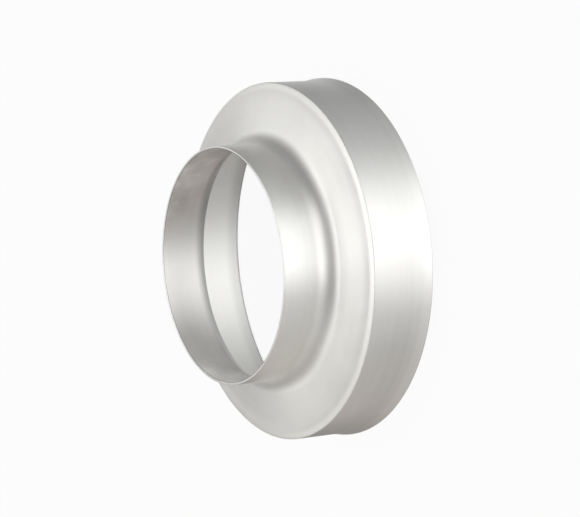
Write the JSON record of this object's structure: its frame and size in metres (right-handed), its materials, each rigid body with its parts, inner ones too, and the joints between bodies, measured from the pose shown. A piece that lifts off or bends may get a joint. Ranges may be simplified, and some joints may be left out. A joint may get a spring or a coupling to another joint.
{
  "type": "duct reducer",
  "caption": "Spun aluminium duct reducer: a wide collar with a flared mouth, a gently rising flange with a rounded lip, and a narrow collar that a smooth throat joins to it.",
  "frame": {"origin": "on the axis of the shell, in the plane of the wide mouth's rim, which the part stands on", "axes": "+Z along the axis, from the wide mouth up to the narrow rim; X and Y are any two directions across it, since the part is round"},
  "size_m": [0.1511, 0.1512, 0.053],
  "materials": {
    "spun_aluminium": "satin, with faint rings left by the spinning lathe"
  },
  "bodies": {
    "root": {"reducer": "spun_aluminium"}
  },
  "joints": []
}
